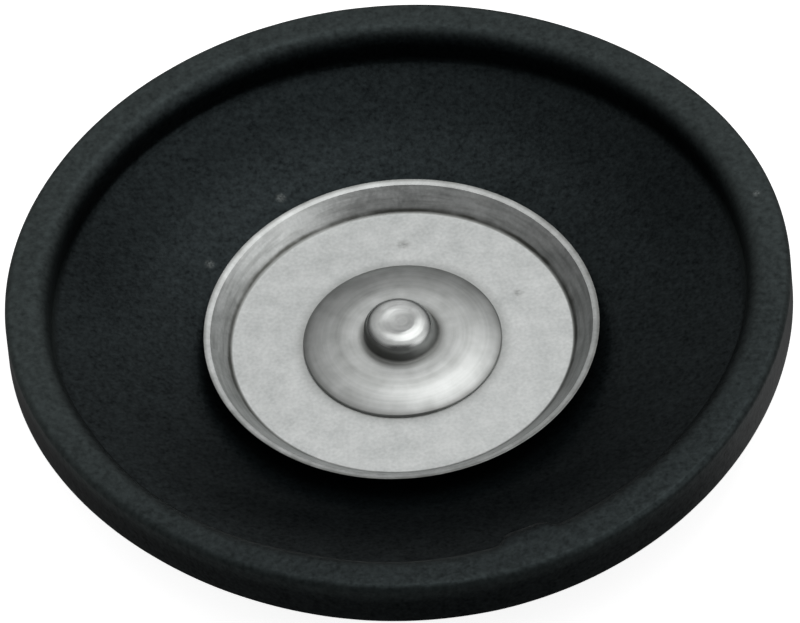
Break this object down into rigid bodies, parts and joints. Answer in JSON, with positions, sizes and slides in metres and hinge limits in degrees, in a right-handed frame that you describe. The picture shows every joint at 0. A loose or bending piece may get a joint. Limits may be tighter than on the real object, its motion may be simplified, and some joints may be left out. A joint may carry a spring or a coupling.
{
  "type": "pump diaphragm",
  "caption": "Round dished rubber pump diaphragm with a raised bead round its edge, clamped by a central rivet between a sheet-steel spring cup and a backing plate.",
  "frame": {"origin": "centre of the rivet's flat lower head, at the bottom of the part", "axes": "+Z along the axis of the disc, towards the bead's crown and the spring cup; X and Y are any two directions square to it"},
  "size_m": [0.028, 0.028, 0.0047],
  "materials": {
    "rubber": "matte moulded black rubber",
    "plated_sheet": "stamped sheet steel with a dull silver plating",
    "turned_steel": "turned steel with a satin silver plating"
  },
  "bodies": {
    "root": {"diaphragm": "rubber", "spring_cup": "plated_sheet", "backing_plate": "plated_sheet", "centre_rivet": "turned_steel"}
  },
  "joints": []
}
